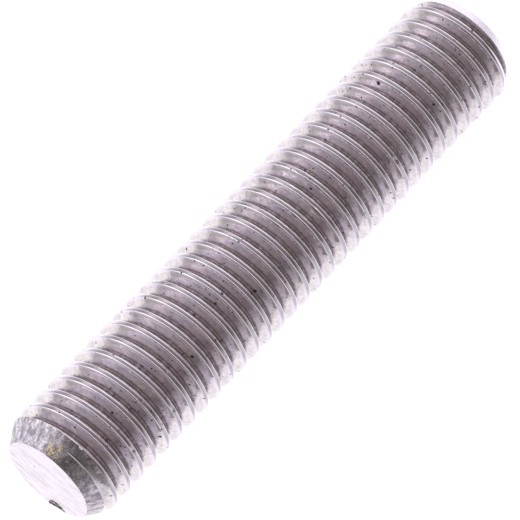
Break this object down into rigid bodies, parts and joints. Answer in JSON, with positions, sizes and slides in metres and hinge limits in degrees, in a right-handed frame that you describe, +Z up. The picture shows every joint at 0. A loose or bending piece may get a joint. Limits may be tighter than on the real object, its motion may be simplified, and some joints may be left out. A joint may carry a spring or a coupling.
{
  "type": "threaded rod",
  "caption": "Short fully threaded steel rod with a right-hand thread from end to end and a chamfer and a flat face at each end, standing on one end.",
  "frame": {"origin": "centre of the lower end face, on which the rod stands", "axes": "+Z up along the rod's axis, towards the upper end face. The thread is right-handed about +Z. -Y faces the viewer"},
  "size_m": [0.0098, 0.0098, 0.05],
  "materials": {
    "zinc_plated_steel": "bright zinc plating with fine marks, dark specks and nicked crests"
  },
  "bodies": {
    "root": {"threaded_rod": "zinc_plated_steel"}
  },
  "joints": []
}
